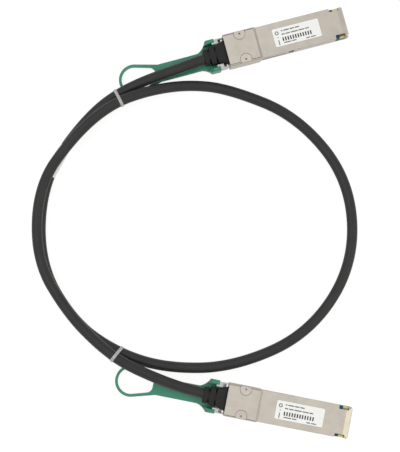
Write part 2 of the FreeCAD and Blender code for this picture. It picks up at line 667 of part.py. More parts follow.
def tab_body_plan():
    """Ears, flare and strap as one upright prism."""
    y0 = TAB_OFFSET
    points = []
    for side in (1, -1):
        strap_y = y0 + side * STRAP_HALF
        ear_y = side * EAR_HALF
        middle = Vector(
            EAR_REAR_X + (FLARE_END_X - EAR_REAR_X) * 0.42, ear_y + (strap_y - ear_y) * 0.62, 0)
        points.append((Vector(TAB_FRONT_X, ear_y, 0), Vector(EAR_REAR_X, ear_y, 0), middle,
                       Vector(FLARE_END_X, strap_y, 0), Vector(LOOP_START_X - 2.0, strap_y, 0)))
    upper, lower = points
    edges = [
        Part.LineSegment(upper[0], upper[1]).toShape(),
        Part.Arc(upper[1], upper[2], upper[3]).toShape(),
        Part.LineSegment(upper[3], upper[4]).toShape(),
        Part.LineSegment(upper[4], lower[4]).toShape(),
        Part.LineSegment(lower[4], lower[3]).toShape(),
        Part.Arc(lower[3], lower[2], lower[1]).toShape(),
        Part.LineSegment(lower[1], lower[0]).toShape(),
        Part.LineSegment(lower[0], upper[0]).toShape(),
    ]
    prism = Part.Face(Part.Wire(edges)).extrude(Vector(0, 0, 2.0 * PRISM_HALF))
    prism.translate(Vector(0, 0, -PRISM_HALF))
    return prism


def pull_tab(slider):
    """Green tab moulded round the slider's tail: ears, floor, strap and finger loop in one piece."""
    body_plan = tab_body_plan()
    strap = side_profile(strap_side(), PRISM_HALF)
    loop = loop_wire(LOOP_RADIUS, LOOP_START_X, STRAP_HALF, 0.0)
    inner_half = STRAP_HALF - LOOP_BAR * 0.75
    opening = loop_wire(LOOP_RADIUS - LOOP_BAR, LOOP_WEB_X, inner_half, LOOP_WEB_ROUND)
    plate = body_plan.fuse(loop).removeSplitter().cut(opening).common(strap)
    ear_side = [
        (TAB_FRONT_X, BRIDGE_Z - 0.6), (TAB_FRONT_X, EAR_TOP), (EAR_REAR_X + 1.2, EAR_TOP),
        (EAR_FOOT_X, BRIDGE_Z + 1.0), (EAR_FOOT_X, BRIDGE_Z - 0.6),
    ]
    face = face_of([Vector(x, EAR_HALF - EAR_WALL, z) for x, z in ear_side])
    ear = face.extrude(Vector(0, EAR_WALL, 0))
    ear = fillet_edges(ear, EAR_ROUND, lambda e: e.BoundBox.ZMin > EAR_TOP - 0.01)
    ears = [shape.common(body_plan) for shape in both_sides(ear)]
    return fuse([plate] + ears).cut(slider)


def plug_label():
    x1 = SHELL_LENGTH - LABEL_BEHIND_FRONT
    half = LABEL_WIDTH / 2.0
    sheet = box(x1 - LABEL_LENGTH, x1, -half, half, NOSE_TOP, NOSE_TOP + LABEL_THICK)
    return fillet_edges(sheet, LABEL_ROUND, lambda e: e.BoundBox.ZLength > LABEL_THICK * 0.5
                        and e.BoundBox.XLength < 1e-6 and e.BoundBox.YLength < 1e-6)


def plug_parts():
    """Every piece of one plug, in the plug's own frame."""
    form = outer_form()
    card = paddle_card()
    slider = latch_slider()
    return {
        "bottom_shell": bottom_shell(form),
        "top_cover": top_cover(form),
        "cover_rivets": cover_rivets(form),
        "paddle_card": card,
        "contact_pads": contact_pads(),
        "memory_chip": memory_chip(),
        "wire_pairs": wire_pairs(),
        "wire_potting": wire_potting(card),
        "crimp_ferrule": crimp_ferrule(),
        "strain_relief": strain_relief(),
        "latch_slider": slider,
        "return_spring_left": return_spring(1),
        "return_spring_right": return_spring(-1),
        "pull_tab": pull_tab(slider),
        "plug_label": plug_label(),
    }


# ================================================================ placing a plug
def plug_placement(name):
    """Nose-down lie on the table: the rear section's front edge and the nose's front edge touch it."""
    x, y, turn = PLUG_PLACES[name]
    tip = Placement(Vector(0, 0, 0), Rotation(Vector(0, 1, 0), PITCH), Vector(REAR_LENGTH, 0, 0))
    lay = Placement(Vector(x, y, 0), Rotation(Vector(0, 0, 1), turn))
    return lay.multiply(tip)


def placed(shape, placement):
    copy = shape.copy()
    copy.Placement = placement.multiply(shape.Placement)
    return copy


# ================================================================ cable, ties and sleeve
def cable_route():
    """Corners of the route: the leads out of both boots and the chosen points between."""
    leads = {}
    for name, corners in CABLE_LEADS.items():
        placement = plug_placement(name)
        leads[name] = [placement.multVec(Vector(x, y, MID_Z)) for x, y in ((CABLE_END_X, 0.0),) + corners]
    middle = [Vector(*point) for point in CABLE_POINTS]
    return leads["b"] + middle + leads["a"][::-1]


def rounded_path(corners):
    """Straight runs joined by tangent arcs. Returns the edges by corner and the arc radii."""
    runs = [(b - a).Length for a, b in zip(corners, corners[1:])]
    edges = []
    radii = []
    position = corners[0]
    for index in range(1, len(corners) - 1):
        corner = corners[index]
        back = (corners[index - 1] - corner).normalize()
        ahead = (corners[index + 1] - corner).normalize()
        reach = ARC_RATIO * min(runs[index - 1], runs[index])
        half_turn = (math.pi - back.getAngle(ahead)) / 2.0
        radius = reach / math.tan(half_turn)
        start = corner + back * reach
        end = corner + ahead * reach
        bisector = (back + ahead).normalize()
        middle = corner + bisector * (radius / math.cos(half_turn) - radius)
        edges.append((index, Part.LineSegment(position, start).toShape()))
        edges.append((index, Part.Arc(start, middle, end).toShape()))
        radii.append(radius)
        position = end
    edges.append((len(corners) - 1, Part.LineSegment(position, corners[-1]).toShape()))
    return edges, radii


def tube(edges, radius):
    path = Part.Wire(edges)
    first = edges[0]
    start = first.valueAt(first.FirstParameter)
    section = Part.Wire(Part.makeCircle(radius, start, first.tangentAt(first.FirstParameter)))
    return path.makePipeShell([section], True, True)


def hull_prism(centres, radius, direction, width):
    """Prism round two circles and the band of straight sides between them."""
    first, second = centres
    across = (second - first).normalize()
    sideways = direction.cross(across).normalize() * radius
    edges = [
        Part.Arc(first + sideways, first - across * radius, first - sideways).toShape(),
        Part.LineSegment(first - sideways, second - sideways).toShape(),
        Part.Arc(second - sideways, second + across * radius, second + sideways).toShape(),
        Part.LineSegment(second + sideways, first + sideways).toShape(),
    ]
    prism = Part.Face(Part.Wire(edges)).extrude(direction * width)
    prism.translate(direction * (-width / 2.0))
    return prism


def tie(cable, place, direction):
    """Flat band round the two strands where the plane at the place crosses them."""
    along = Vector(*direction).normalize()
    point = Vector(*place)
    wires = cable.slice(along, along.dot(point))
    centres = [wire.BoundBox.Center for wire in wires]
    near = sorted(centres, key=lambda c: (c - point).Length)[:2]
    inner = CABLE_DIAMETER / 2.0 + TIE_CLEARANCE
    band = hull_prism(near, inner + TIE_THICK, along, TIE_WIDTH)
    return band.cut(hull_prism(near, inner, along, TIE_WIDTH + 1.0))


def cable_sleeve(path):
    """Wrapped label on the lower strand, following the cable's curve."""
    stretch = [edge for corner, edge in path if corner in (SLEEVE_CORNER, SLEEVE_CORNER + 1)]
    radius = CABLE_DIAMETER / 2.0
    skin = tube(stretch, radius + SLEEVE_THICK).cut(tube(stretch, radius))
    arc = stretch[1]
    end = arc.LastParameter
    centre = arc.valueAt(end)
    along = arc.tangentAt(end)
    slab = Part.makeBox(SLEEVE_LENGTH, 20.0, 20.0, Vector(SLEEVE_ADVANCE - SLEEVE_LENGTH, -10.0, -10.0))
    slab.Placement = Placement(centre, Rotation(Vector(1, 0, 0), along))
    return skin.common(slab)


# ================================================================ build
def main():
    os.makedirs("parts", exist_ok=True)
    nodes = {}
    pieces = plug_parts()
    for name in PLUG_PLACES:
        placement = plug_placement(name)
        for piece, shape in pieces.items():
            nodes[piece + "_" + name] = placed(shape, placement)

    path, radii = rounded_path(cable_route())
    edges = [edge for _, edge in path]
    cable = tube(edges, CABLE_DIAMETER / 2.0)
    nodes["cable"] = cable
    for name in PLUG_PLACES:
        boot = "strain_relief_" + name
        nodes[boot] = nodes[boot].cut(cable)
    for name, (place, direction) in TIES.items():
        nodes[name] = tie(cable, place, direction)
    nodes["cable_label"] = cable_sleeve(path)

    length = sum(edge.Length for edge in edges)
    print("cable length %.1f, volume %.1f, section x length %.1f"
          % (length, cable.Volume, math.pi * CABLE_DIAMETER ** 2 / 4.0 * length))
    print("arc radii " + " ".join("%.0f" % radius for radius in radii))
    for name, shape in sorted(nodes.items()):
        facts = (name, len(shape.Solids), shape.isValid(), shape.Volume)
        print("%-24s solids %2d valid %s volume %9.2f" % facts)
        shape.exportStep("parts/%s.step" % name)


main()
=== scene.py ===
"""Direct attach copper cable: the finishes, the cord and the print and ties round its frame."""

import json
import logging
import math
from collections.abc import Sequence
from dataclasses import dataclass, field
from enum import Enum

import bmesh
import bpy
from mathutils import Matrix, Vector


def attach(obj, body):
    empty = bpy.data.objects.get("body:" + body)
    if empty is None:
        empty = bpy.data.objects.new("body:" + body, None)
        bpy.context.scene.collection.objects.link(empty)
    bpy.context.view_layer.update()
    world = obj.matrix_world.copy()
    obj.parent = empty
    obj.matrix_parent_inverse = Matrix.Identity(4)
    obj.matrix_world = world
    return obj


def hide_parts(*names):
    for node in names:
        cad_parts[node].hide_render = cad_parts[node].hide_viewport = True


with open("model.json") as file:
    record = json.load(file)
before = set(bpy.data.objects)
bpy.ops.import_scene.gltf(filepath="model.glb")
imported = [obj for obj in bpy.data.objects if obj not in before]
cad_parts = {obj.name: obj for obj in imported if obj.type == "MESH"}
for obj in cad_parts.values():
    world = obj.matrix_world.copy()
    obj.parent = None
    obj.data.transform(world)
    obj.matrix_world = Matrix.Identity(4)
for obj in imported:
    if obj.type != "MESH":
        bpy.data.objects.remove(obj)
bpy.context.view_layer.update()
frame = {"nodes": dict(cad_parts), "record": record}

LOG = logging.getLogger("copper_cable")
MM = 0.001
ROOT_BODY = "cable_assembly"
WHITE = (1.0, 1.0, 1.0, 1.0)
NOISE_LOW = 0.3
NOISE_HIGH = 0.7
NOISE_ROUGHNESS = 0.55
EDGE_SAMPLES = 6
# samples of the ambient-occlusion node that paints shade into crevices
CREVICE_SHADE_SAMPLES = 8

Colour = tuple[float, float, float]
Place = tuple[float, float, float]
Corner = tuple[float, float]
Loop = list[Vector]


def rgba(colour: Colour) -> tuple[float, float, float, float]:
    """A linear colour with full alpha."""
    return (*colour, 1.0)


def shade(colour: Colour, factor: float) -> tuple[float, float, float, float]:
    """A linear colour made lighter or darker by a factor, with full alpha."""
    return tuple(min(1.0, channel * factor) for channel in colour) + (1.0,)


def direct_rays(tree: bpy.types.NodeTree) -> bpy.types.NodeSocket:
    """Builds a switch for what is looked at directly, in a mirror or through a clear piece.

    Args:
        tree: The material's or world's node tree.

    Returns:
        A socket that is 1 for camera, glossy and transmission rays and 0 for the rest.
    """
    path = tree.nodes.new("ShaderNodeLightPath")
    total = path.outputs["Is Camera Ray"]
    for name in ("Is Glossy Ray", "Is Transmission Ray"):
        larger = tree.nodes.new("ShaderNodeMath")
        larger.operation = "MAXIMUM"
        tree.links.new(total, larger.inputs[0])
        tree.links.new(path.outputs[name], larger.inputs[1])
        total = larger.outputs[0]
    return total


# ------------------------------------------------------------------ finishes
class Sheet:
    """A material's node tree with short ways to add and join nodes."""

    def __init__(self, name: str) -> None:
        """Makes an empty material.

        Args:
            name: The material's name.
        """
        self.material = bpy.data.materials.new(name)
        self.material.use_nodes = True
        self.tree = self.material.node_tree
        self.tree.nodes.clear()
        self.output = self.tree.nodes.new("ShaderNodeOutputMaterial")

    def add(self, kind: str, **settings: object) -> bpy.types.Node:
        """Adds a node and sets its properties or its inputs' values.

        Args:
            kind: The node's type, without the ShaderNode prefix.
            settings: Property names, or input names with spaces written as underscores.

        Returns:
            The new node.
        """
        node = self.tree.nodes.new("ShaderNode" + kind)
        for name, value in settings.items():
            if hasattr(node, name):
                setattr(node, name, value)
            else:
                node.inputs[name.replace("_", " ")].default_value = value
        return node

    def join(self, source: bpy.types.NodeSocket, target: bpy.types.NodeSocket) -> None:
        """Links an output to an input."""
        self.tree.links.new(source, target)

    def noise(self, size: float, detail: float = 3.0,
              stretch: Sequence[float] = (1, 1, 1)) -> bpy.types.NodeSocket:
        """Noise in object space.

        Args:
            size: Width of one grain, in metres.
            detail: Number of finer layers.
            stretch: How much finer the grain is along each axis.

        Returns:
            The noise's grey output.
        """
        place = self.add("TexCoord").outputs["Object"]
        scale = self.add("Mapping")
        scale.inputs["Scale"].default_value = stretch
        self.join(place, scale.inputs["Vector"])
        noise = self.add("TexNoise", Scale=1.0 / size, Detail=detail,
                         Roughness=NOISE_ROUGHNESS)
        self.join(scale.outputs["Vector"], noise.inputs["Vector"])
        return noise.outputs["Fac"]

    def ramp(self, source: bpy.types.NodeSocket, low: Sequence[float], high: Sequence[float],
             start: float = NOISE_LOW, end: float = NOISE_HIGH) -> bpy.types.NodeSocket:
        """Turns a grey value into a colour between two colours.

        Args:
            source: The grey value.
            low: Colour at and below start.
            high: Colour at and above end.
            start: Lower end of the blend.
            end: Upper end of the blend.

        Returns:
            The colour output.
        """
        ramp = self.add("ValToRGB")
        first, last = ramp.color_ramp.elements
        first.position, first.color = start, low
        last.position, last.color = end, high
        self.join(source, ramp.inputs["Fac"])
        return ramp.outputs["Color"]

    def spread(self, source: bpy.types.NodeSocket, low: float, high: float) -> bpy.types.NodeSocket:
        """Maps the span that most of a noise lies in to low..high.

        Args:
            source: The noise's grey value.
            low: Result at the lower end.
            high: Result at the upper end.

        Returns:
            The mapped value.
        """
        spread = self.add("MapRange", From_Min=NOISE_LOW, From_Max=NOISE_HIGH,
                          To_Min=low, To_Max=high)
        self.join(source, spread.inputs["Value"])
        return spread.outputs["Result"]

    def soft_edges(self, radius: float) -> bpy.types.NodeSocket:
        """The surface's normal with every edge rounded by a radius in metres."""
        return self.add("Bevel", samples=EDGE_SAMPLES, Radius=radius).outputs["Normal"]

    def painted_crevice_shade(self, reach: float) -> bpy.types.NodeSocket:
        """Painted shade: how open the surface is to its surroundings, 1 in the open and less in a
        crevice, for darkening a colour where shade falls.

        Args:
            reach: How far neighbouring faces count, in metres.

        Returns:
            The grey value.
        """
        shelter = self.add("AmbientOcclusion", samples=CREVICE_SHADE_SAMPLES, Distance=reach)
        return shelter.outputs["AO"]

    def darken(self, colour: bpy.types.NodeSocket, factor: bpy.types.NodeSocket,
               amount: float = 1.0) -> bpy.types.NodeSocket:
        """Multiplies a colour by a grey value or a second colour.

        Args:
            colour: The colour.
            factor: The grey value or second colour.
            amount: How much of the change is kept.

        Returns:
            The changed colour.
        """
        blend = self.add("Mix", data_type="RGBA", blend_type="MULTIPLY")
        blend.inputs["Factor"].default_value = amount
        self.join(colour, blend.inputs["A"])
        self.join(factor, blend.inputs["B"])
        return blend.outputs["Result"]

    def bump(self, heights: Sequence[tuple[bpy.types.NodeSocket, float]],
             normal: bpy.types.NodeSocket | None = None) -> bpy.types.NodeSocket | None:
        """Stacks bumps on a normal.

        Args:
            heights: Each bump's grey height and its depth in metres.
            normal: The normal below them, or None for the surface's own.

        Returns:
            The changed normal.
        """
        for height, depth in heights:
            bump = self.add("Bump", Strength=1.0, Distance=depth)
            self.join(height, bump.inputs["Height"])
            if normal is not None:
                self.join(normal, bump.inputs["Normal"])
            normal = bump.outputs["Normal"]
        return normal

    def surface(self, **settings: float) -> bpy.types.Node:
        """Adds the main shader with constants on its own sockets and joins it to the output."""
        shader = self.add("BsdfPrincipled", **settings)
        self.join(shader.outputs["BSDF"], self.output.inputs["Surface"])
        return shader


@dataclass(frozen=True)
class CastMetal:
    """Plated casting or stamping: mottled, finely grained, round-edged, with painted shade
    darkening its crevices.
    """

    name: str
    colour: Colour
    roughness: float
    metallic: float = 1.0
    smoother: float = 0.06
    rougher: float = 0.08
    grain: float = 0.00035
    grain_detail: float = 2.0
    grain_depth: float = 0.00001
    grain_shade: float = 0.93
    mottle: float = 0.006
    mottle_detail: float = 4.0
    contrast: float = 0.08
    light_share: float = 0.5
    edge: float = 0.00018
    # share of painted crevice shade multiplied into the base colour
    painted_crevice_shade: float = 0.6
    reach: float = 0.0006

    def build(self) -> bpy.types.Material:
        """Makes the material."""
        sheet = Sheet(self.name)
        shader = sheet.surface(Metallic=self.metallic)
        cloud = sheet.noise(self.mottle, self.mottle_detail)
        grain = sheet.noise(self.grain, self.grain_detail)
        darkest = shade(self.colour, 1 - self.contrast)
        lightest = shade(self.colour, 1 + self.contrast * self.light_share)
        tone = sheet.ramp(cloud, darkest, lightest)
        speck = sheet.ramp(grain, shade((1, 1, 1), self.grain_shade), WHITE)
        # painted shade: the ambient-occlusion value darkens the base colour in crevices
        colour = sheet.darken(sheet.darken(tone, speck), sheet.painted_crevice_shade(self.reach), self.painted_crevice_shade)
        sheet.join(colour, shader.inputs["Base Color"])
        gloss = sheet.spread(grain, self.roughness - self.smoother, self.roughness + self.rougher)
        sheet.join(gloss, shader.inputs["Roughness"])
        normal = sheet.bump([(grain, self.grain_depth)], sheet.soft_edges(self.edge))
        sheet.join(normal, shader.inputs["Normal"])
        return sheet.material


@dataclass(frozen=True)
class MouldedPlastic:
    """Moulded plastic: faint flow marks, a fine texture, rounded edges and painted shade in its
    crevices.
    """

    name: str
    colour: Colour
    roughness: float
    contrast: float = 0.06
    flow: float = 0.011
    flow_detail: float = 3.0
    flow_stretch: Sequence[float] = (1.0, 1.6, 1.0)
    flow_depth: float = 0.00004
    texture: float = 0.0003
    texture_detail: float = 2.0
    texture_depth: float = 0.000008
    edge: float = 0.00025
    glow: float = 0.0
    glow_depth: float = 0.0015
    shine: float = 0.5
    # share of painted crevice shade multiplied into the base colour
    painted_crevice_shade: float = 0.5
    reach: float = 0.0015

    def build(self) -> bpy.types.Material:
        """Makes the material."""
        sheet = Sheet(self.name)
        settings = {"Roughness": self.roughness, "Specular_IOR_Level": self.shine}
        if self.glow:
            settings |= {"Subsurface_Weight": self.glow, "Subsurface_Scale": self.glow_depth}
        shader = sheet.surface(**settings)
        flow = sheet.noise(self.flow, self.flow_detail, self.flow_stretch)
        texture = sheet.noise(self.texture, self.texture_detail)
        darkest = shade(self.colour, 1 - self.contrast)
        lightest = shade(self.colour, 1 + self.contrast)
        tone = sheet.ramp(flow, darkest, lightest)
        # painted shade: the ambient-occlusion value darkens the base colour in crevices
        colour = sheet.darken(tone, sheet.painted_crevice_shade(self.reach), self.painted_crevice_shade)
        sheet.join(colour, shader.inputs["Base Color"])
        bumps = [(flow, self.flow_depth), (texture, self.texture_depth)]
        normal = sheet.bump(bumps, sheet.soft_edges(self.edge))
        sheet.join(normal, shader.inputs["Normal"])
        return sheet.material


@dataclass(frozen=True)
class Jacket:
    """Extruded cable jacket: satin black with faint waves from the cores and scuffs."""

    name: str
    colour: Colour
    roughness: float
    smoother: float = 0.05
    rougher: float = 0.06
    shine: float = 0.3
    contrast: float = 0.12
    scuff: float = 0.009
    scuff_detail: float = 5.0
    wave: float = 0.016
    wave_detail: float = 1.0
    wave_depth: float = 0.0003
    grain: float = 0.0004
    grain_detail: float = 2.0
    grain_depth: float = 0.000006

    def build(self) -> bpy.types.Material:
        """Makes the material."""
        sheet = Sheet(self.name)
        shader = sheet.surface(Specular_IOR_Level=self.shine)
        scuff = sheet.noise(self.scuff, self.scuff_detail)
        wave = sheet.noise(self.wave, self.wave_detail)
        grain = sheet.noise(self.grain, self.grain_detail)
        darkest = shade(self.colour, 1 - self.contrast)
        lightest = shade(self.colour, 1 + self.contrast)
        sheet.join(sheet.ramp(scuff, darkest, lightest), shader.inputs["Base Color"])
        gloss = sheet.spread(scuff, self.roughness + self.rougher, self.roughness - self.smoother)
        sheet.join(gloss, shader.inputs["Roughness"])
        normal = sheet.bump([(wave, self.wave_depth), (grain, self.grain_depth)])
        sheet.join(normal, shader.inputs["Normal"])
        return sheet.material


@dataclass(frozen=True)
class Film:
    """Coated film or ink: faintly mottled and almost flat."""

    name: str
    colour: Colour
    roughness: float = 0.42
    fibre: float = 0.0012
    fibre_detail: float = 4.0
    fibre_depth: float = 0.000006
    darkest: float = 0.97
    lightest: float = 1.02

    def build(self) -> bpy.types.Material:
        """Makes the material."""
        sheet = Sheet(self.name)
        shader = sheet.surface(Roughness=self.roughness)
        fibre = sheet.noise(self.fibre, self.fibre_detail)
        darkest, lightest = shade(self.colour, self.darkest), shade(self.colour, self.lightest)
        colour = sheet.ramp(fibre, darkest, lightest)
        sheet.join(colour, shader.inputs["Base Color"])
        sheet.join(sheet.bump([(fibre, self.fibre_depth)]), shader.inputs["Normal"])
        return sheet.material


@dataclass(frozen=True)
class SolderMask:
    """Circuit card: satin mask over copper tracks that show as faint, paler ridges."""

    name: str
    colour: Colour
    roughness: float = 0.34
    shine: float = 0.25
    coat: float = 0.1
    track: float = 0.0009
    track_disorder: float = 0.35
    track_depth: float = 0.00002
    track_shade: float = 1.35
    track_ends: Sequence[float] = (0.25, 0.4)

    def build(self) -> bpy.types.Material:
        """Makes the material."""
        sheet = Sheet(self.name)
        shader = sheet.surface(Roughness=self.roughness, Specular_IOR_Level=self.shine,
                               Coat_Weight=self.coat)
        cell = sheet.add("TexVoronoi", distance="CHEBYCHEV", Scale=1.0 / self.track,
                         Randomness=self.track_disorder)
        sheet.join(sheet.add("TexCoord").outputs["Object"], cell.inputs["Vector"])
        away = cell.outputs["Distance"]
        track = shade(self.colour, self.track_shade)
        colour = sheet.ramp(away, track, rgba(self.colour), *self.track_ends)
        sheet.join(colour, shader.inputs["Base Color"])
        sheet.join(sheet.bump([(away, self.track_depth)]), shader.inputs["Normal"])
        return sheet.material


@dataclass(frozen=True)
class Strap:
    """Nylon strap: faintly clouded, with a fine grain and rounded edges."""

    name: str
    colour: Colour
    roughness: float = 0.38
    coat: float = 0.15
    cloud: float = 0.002
    cloud_detail: float = 3.0
    darkest: float = 0.9
    lightest: float = 1.08
    grain: float = 0.0005
    grain_detail: float = 1.0
    grain_depth: float = 0.00002
    edge: float = 0.0002

    def build(self) -> bpy.types.Material:
        """Makes the material."""
        sheet = Sheet(self.name)
        shader = sheet.surface(Roughness=self.roughness, Coat_Weight=self.coat)
        cloud = sheet.noise(self.cloud, self.cloud_detail)
        grain = sheet.noise(self.grain, self.grain_detail)
        darkest, lightest = shade(self.colour, self.darkest), shade(self.colour, self.lightest)
        colour = sheet.ramp(cloud, darkest, lightest)
        sheet.join(colour, shader.inputs["Base Color"])
        normal = sheet.bump([(grain, self.grain_depth)], sheet.soft_edges(self.edge))
        sheet.join(normal, shader.inputs["Normal"])
        return sheet.material


class Finish(Enum):
    """Every finish on the object."""

    # the crevice values set how strongly painted shade darkens each finish's crevices
    NICKEL = CastMetal("nickel_plate", (0.482, 0.443, 0.394), 0.42, painted_crevice_shade=0.35)
    RIVET = CastMetal("rivet_nickel", (0.492, 0.453, 0.402), 0.38, grain=0.0005, painted_crevice_shade=0.8)
    STEEL = CastMetal("slider_steel", (0.425, 0.417, 0.407), 0.34, grain=0.0002, contrast=0.05)
    WIRE = CastMetal("spring_wire", (0.520, 0.520, 0.520), 0.25, grain=0.0002)
    FERRULE = CastMetal("ferrule_tin", (0.600, 0.590, 0.560), 0.34)
    GOLD = CastMetal("contact_gold", (0.600, 0.520, 0.215), 0.28, grain=0.0002, contrast=0.04,
                     edge=0.00004)
    FOIL = CastMetal("pair_foil", (0.720, 0.720, 0.720), 0.28, grain=0.0006, grain_depth=0.00006)
    GREEN = MouldedPlastic("tab_green", (0.040, 0.243, 0.151), 0.38, glow=0.06, shine=0.36)
    # the boot's rib gaps get painted shade at full strength
    BOOT = MouldedPlastic("boot_black", (0.028, 0.0275, 0.028), 0.50, shine=0.06, painted_crevice_shade=1.0,
                          reach=0.002)
    CHIP = MouldedPlastic("chip_black", (0.015, 0.015, 0.016), 0.55, edge=0.00005)
    POTTING = MouldedPlastic("hot_melt", (0.560, 0.480, 0.330), 0.30, glow=0.3, edge=0.0004)
    JACKET = Jacket("cable_jacket", (0.0185, 0.0185, 0.019), 0.46)
    LABEL = Film("label_film", (0.880, 0.885, 0.880))
    SLEEVE = Film("sleeve_film", (0.820, 0.820, 0.815), 0.50)
    PRINT = Film("label_print", (0.030, 0.030, 0.032), 0.55)
    FAINT_PRINT = Film("label_faint_print", (0.130, 0.130, 0.134), 0.55)
    BOARD = SolderMask("card_blue", (0.002, 0.095, 0.165))
    NYLON = Strap("tie_nylon", (0.405, 0.412, 0.408))


class Workshop:
    """Builds each finish once and puts it on pieces."""

    def __init__(self) -> None:
        """Starts with no finish built."""
        self.made: dict[Finish, bpy.types.Material] = {}

    def material(self, finish: Finish) -> bpy.types.Material:
        """The finish's material, built at its first use."""
        if finish not in self.made:
            self.made[finish] = finish.value.build()
        return self.made[finish]

    def dress(self, piece: bpy.types.Object, finish: Finish) -> None:
        """Gives a piece one finish all over."""
        piece.data.materials.clear()
        piece.data.materials.append(self.material(finish))


# ------------------------------------------------------------------ pieces
def mesh_piece(name: str, shape: bmesh.types.BMesh, body: str,
               smooth: bool = True) -> bpy.types.Object:
    """Turns a built shape into a piece that rides on a body.

    Args:
        name: The piece's name.
        shape: The built shape, freed here.
        body: The body that it rides on.
        smooth: Whether its faces are smooth.

    Returns:
        The piece.
    """
    bmesh.ops.recalc_face_normals(shape, faces=shape.faces)
    for face in shape.faces:
        face.smooth = smooth
    mesh = bpy.data.meshes.new(name)
    shape.to_mesh(mesh)
    shape.free()
    piece = bpy.data.objects.new(name, mesh)
    bpy.context.scene.collection.objects.link(piece)
    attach(piece, body)
    return piece


def stitch(shape: bmesh.types.BMesh, loops: Sequence[Loop], closed_end: bool) -> None:
    """Joins loops of equal length with quads.

    Args:
        shape: The shape to add to.
        loops: The loops in order.
        closed_end: Whether the last loop joins the first, else both ends are capped.
    """
    rings = [[shape.verts.new(point) for point in loop] for loop in loops]
    pairs = list(zip(rings, rings[1:]))
    if closed_end:
        pairs.append((rings[-1], rings[0]))
    for first, second in pairs:
        for index in range(len(first)):
            after = (index + 1) % len(first)
            shape.faces.new((first[index], first[after], second[after], second[index]))
    if not closed_end:
        shape.faces.new(rings[0])
        shape.faces.new(rings[-1])


@dataclass
class PlugFrame:
    """Where one plug lies, read from the frame's own mounts.

    Inside a plug +X points to the mating end, x is 0 at the shell's rear face, y is 0 on its middle
    plane and z is 0 at the underside of the rear section, in millimetres.
    """

    suffix: str
    nose_reach: float = 72.4
    nose_middle: float = 6.45

    def matrix(self) -> Matrix:
        """The plug's frame as a matrix that takes millimetres to metres in the row frame."""
        mounts = {mount["name"]: mount for mount in frame["record"]["mounts"]}
        nose = mounts[f"nose_{self.suffix}"]
        ahead = Vector(nose["axis"]).normalized()
        up = -Vector(mounts[f"nose_floor_{self.suffix}"]["axis"]).normalized()
        side = up.cross(ahead)
        origin = Vector(nose["pos_m"]) - (ahead * self.nose_reach + up * self.nose_middle) * MM
        turn = Matrix((ahead, side, up)).transposed().to_4x4()
        return Matrix.Translation(origin) @ turn @ Matrix.Scale(MM, 4)


@dataclass
class Cord:
    """The cable: one smooth line from the lower plug, round the ring, to the upper plug."""

    first_plug: PlugFrame
    last_plug: PlugFrame
    diameter: float = 6.2
    jacket_end: float = 6.0
    first_lead: Sequence[Corner] = ((-20.0, 0.0),)
    last_lead: Sequence[Corner] = ((-6.0, 0.0), (-23.0, -1.6))
    route: Sequence[Place] = (
        (-57.6, -85.9, 10.6), (-74.8, -74.4, 11.2), (-95.0, -54.2, 10.4),
        (-113.6, -23.3, 9.9), (-112.7, 19.8, 10.1), (-92.2, 48.6, 11.4), (-71.5, 66.6, 12.8),
        (-49.8, 75.5, 9.5), (-25.8, 80.0, 4.8), (-1.5, 77.7, 3.2), (38.7, 61.4, 3.2),
        (68.9, 24.0, 3.2), (71.3, -25.3, 3.2), (44.7, -66.2, 3.2), (0.6, -85.4, 3.2),
        (-38.6, -85.9, 3.5), (-67.1, -76.8, 4.8), (-92.3, -59.2, 3.9), (-112.8, -24.5, 3.2),
        (-110.9, 23.6, 3.3), (-87.7, 57.7, 4.8), (-64.9, 76.7, 6.8),
    )
    length: float = 884.0
    order: int = 3
    steps: int = 16
    round_steps: int = 7
    line: list[Vector] = field(default_factory=list)

    def corners(self) -> list[Vector]:
        """The route's points in metres, both ends inside their ferrules."""
        ends = []
        for plug, lead in ((self.first_plug, self.first_lead), (self.last_plug, self.last_lead)):
            place = plug.matrix()
            points = ((self.jacket_end, 0.0), *lead)
            ends.append([place @ Vector((x, y, plug.nose_middle)) for x, y in points])
        inner = [Vector(point) * MM for point in self.route]
        return ends[0] + inner + ends[1][::-1]

    def curve(self, name: str, radius: float) -> bpy.types.Object:
        """A smooth curve through the route.

        Args:
            name: The curve's name.
            radius: The tube's radius in metres, or 0 for the bare line.

        Returns:
            The curve object, linked to the scene.
        """
        data = bpy.data.curves.new(name, "CURVE")
        data.dimensions = "3D"
        points = self.corners()
        spline = data.splines.new("NURBS")
        spline.points.add(len(points) - 1)
        for knot, point in zip(spline.points, points):
            knot.co = (*point, 1.0)
            knot.radius = radius   # a curve's box grows by this, so the tube's size is here
        spline.order_u = self.order
        spline.use_endpoint_u = True
        data.resolution_u = self.steps
        data.bevel_depth = 1.0 if radius else 0.0
        data.bevel_resolution = self.round_steps
        data.use_fill_caps = True
        piece = bpy.data.objects.new(name, data)
        bpy.context.scene.collection.objects.link(piece)
        return piece

    def measure(self) -> None:
        """Reads the smooth line's own points, for the pieces that lie along it."""
        bare = self.curve("cord_line", 0.0)
        bpy.context.view_layer.update()
        final = bare.evaluated_get(bpy.context.evaluated_depsgraph_get())
        mesh = bpy.data.meshes.new_from_object(final)
        self.line = [vertex.co.copy() for vertex in mesh.vertices]
        bpy.data.meshes.remove(mesh)
        curve = bare.data
        bpy.data.objects.remove(bare)
        bpy.data.curves.remove(curve)

    def build(self, workshop: Workshop) -> bpy.types.Object:
        """Makes the cable."""
        piece = self.curve("jacketed_cable", self.diameter / 2 * MM)
        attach(piece, ROOT_BODY)
        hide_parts("cable")
        workshop.dress(piece, Finish.JACKET)
        self.measure()
        return piece

    def declare(self) -> None:
        gate = self.first_plug.matrix() @ Vector((self.jacket_end, 0, self.first_plug.nose_middle))


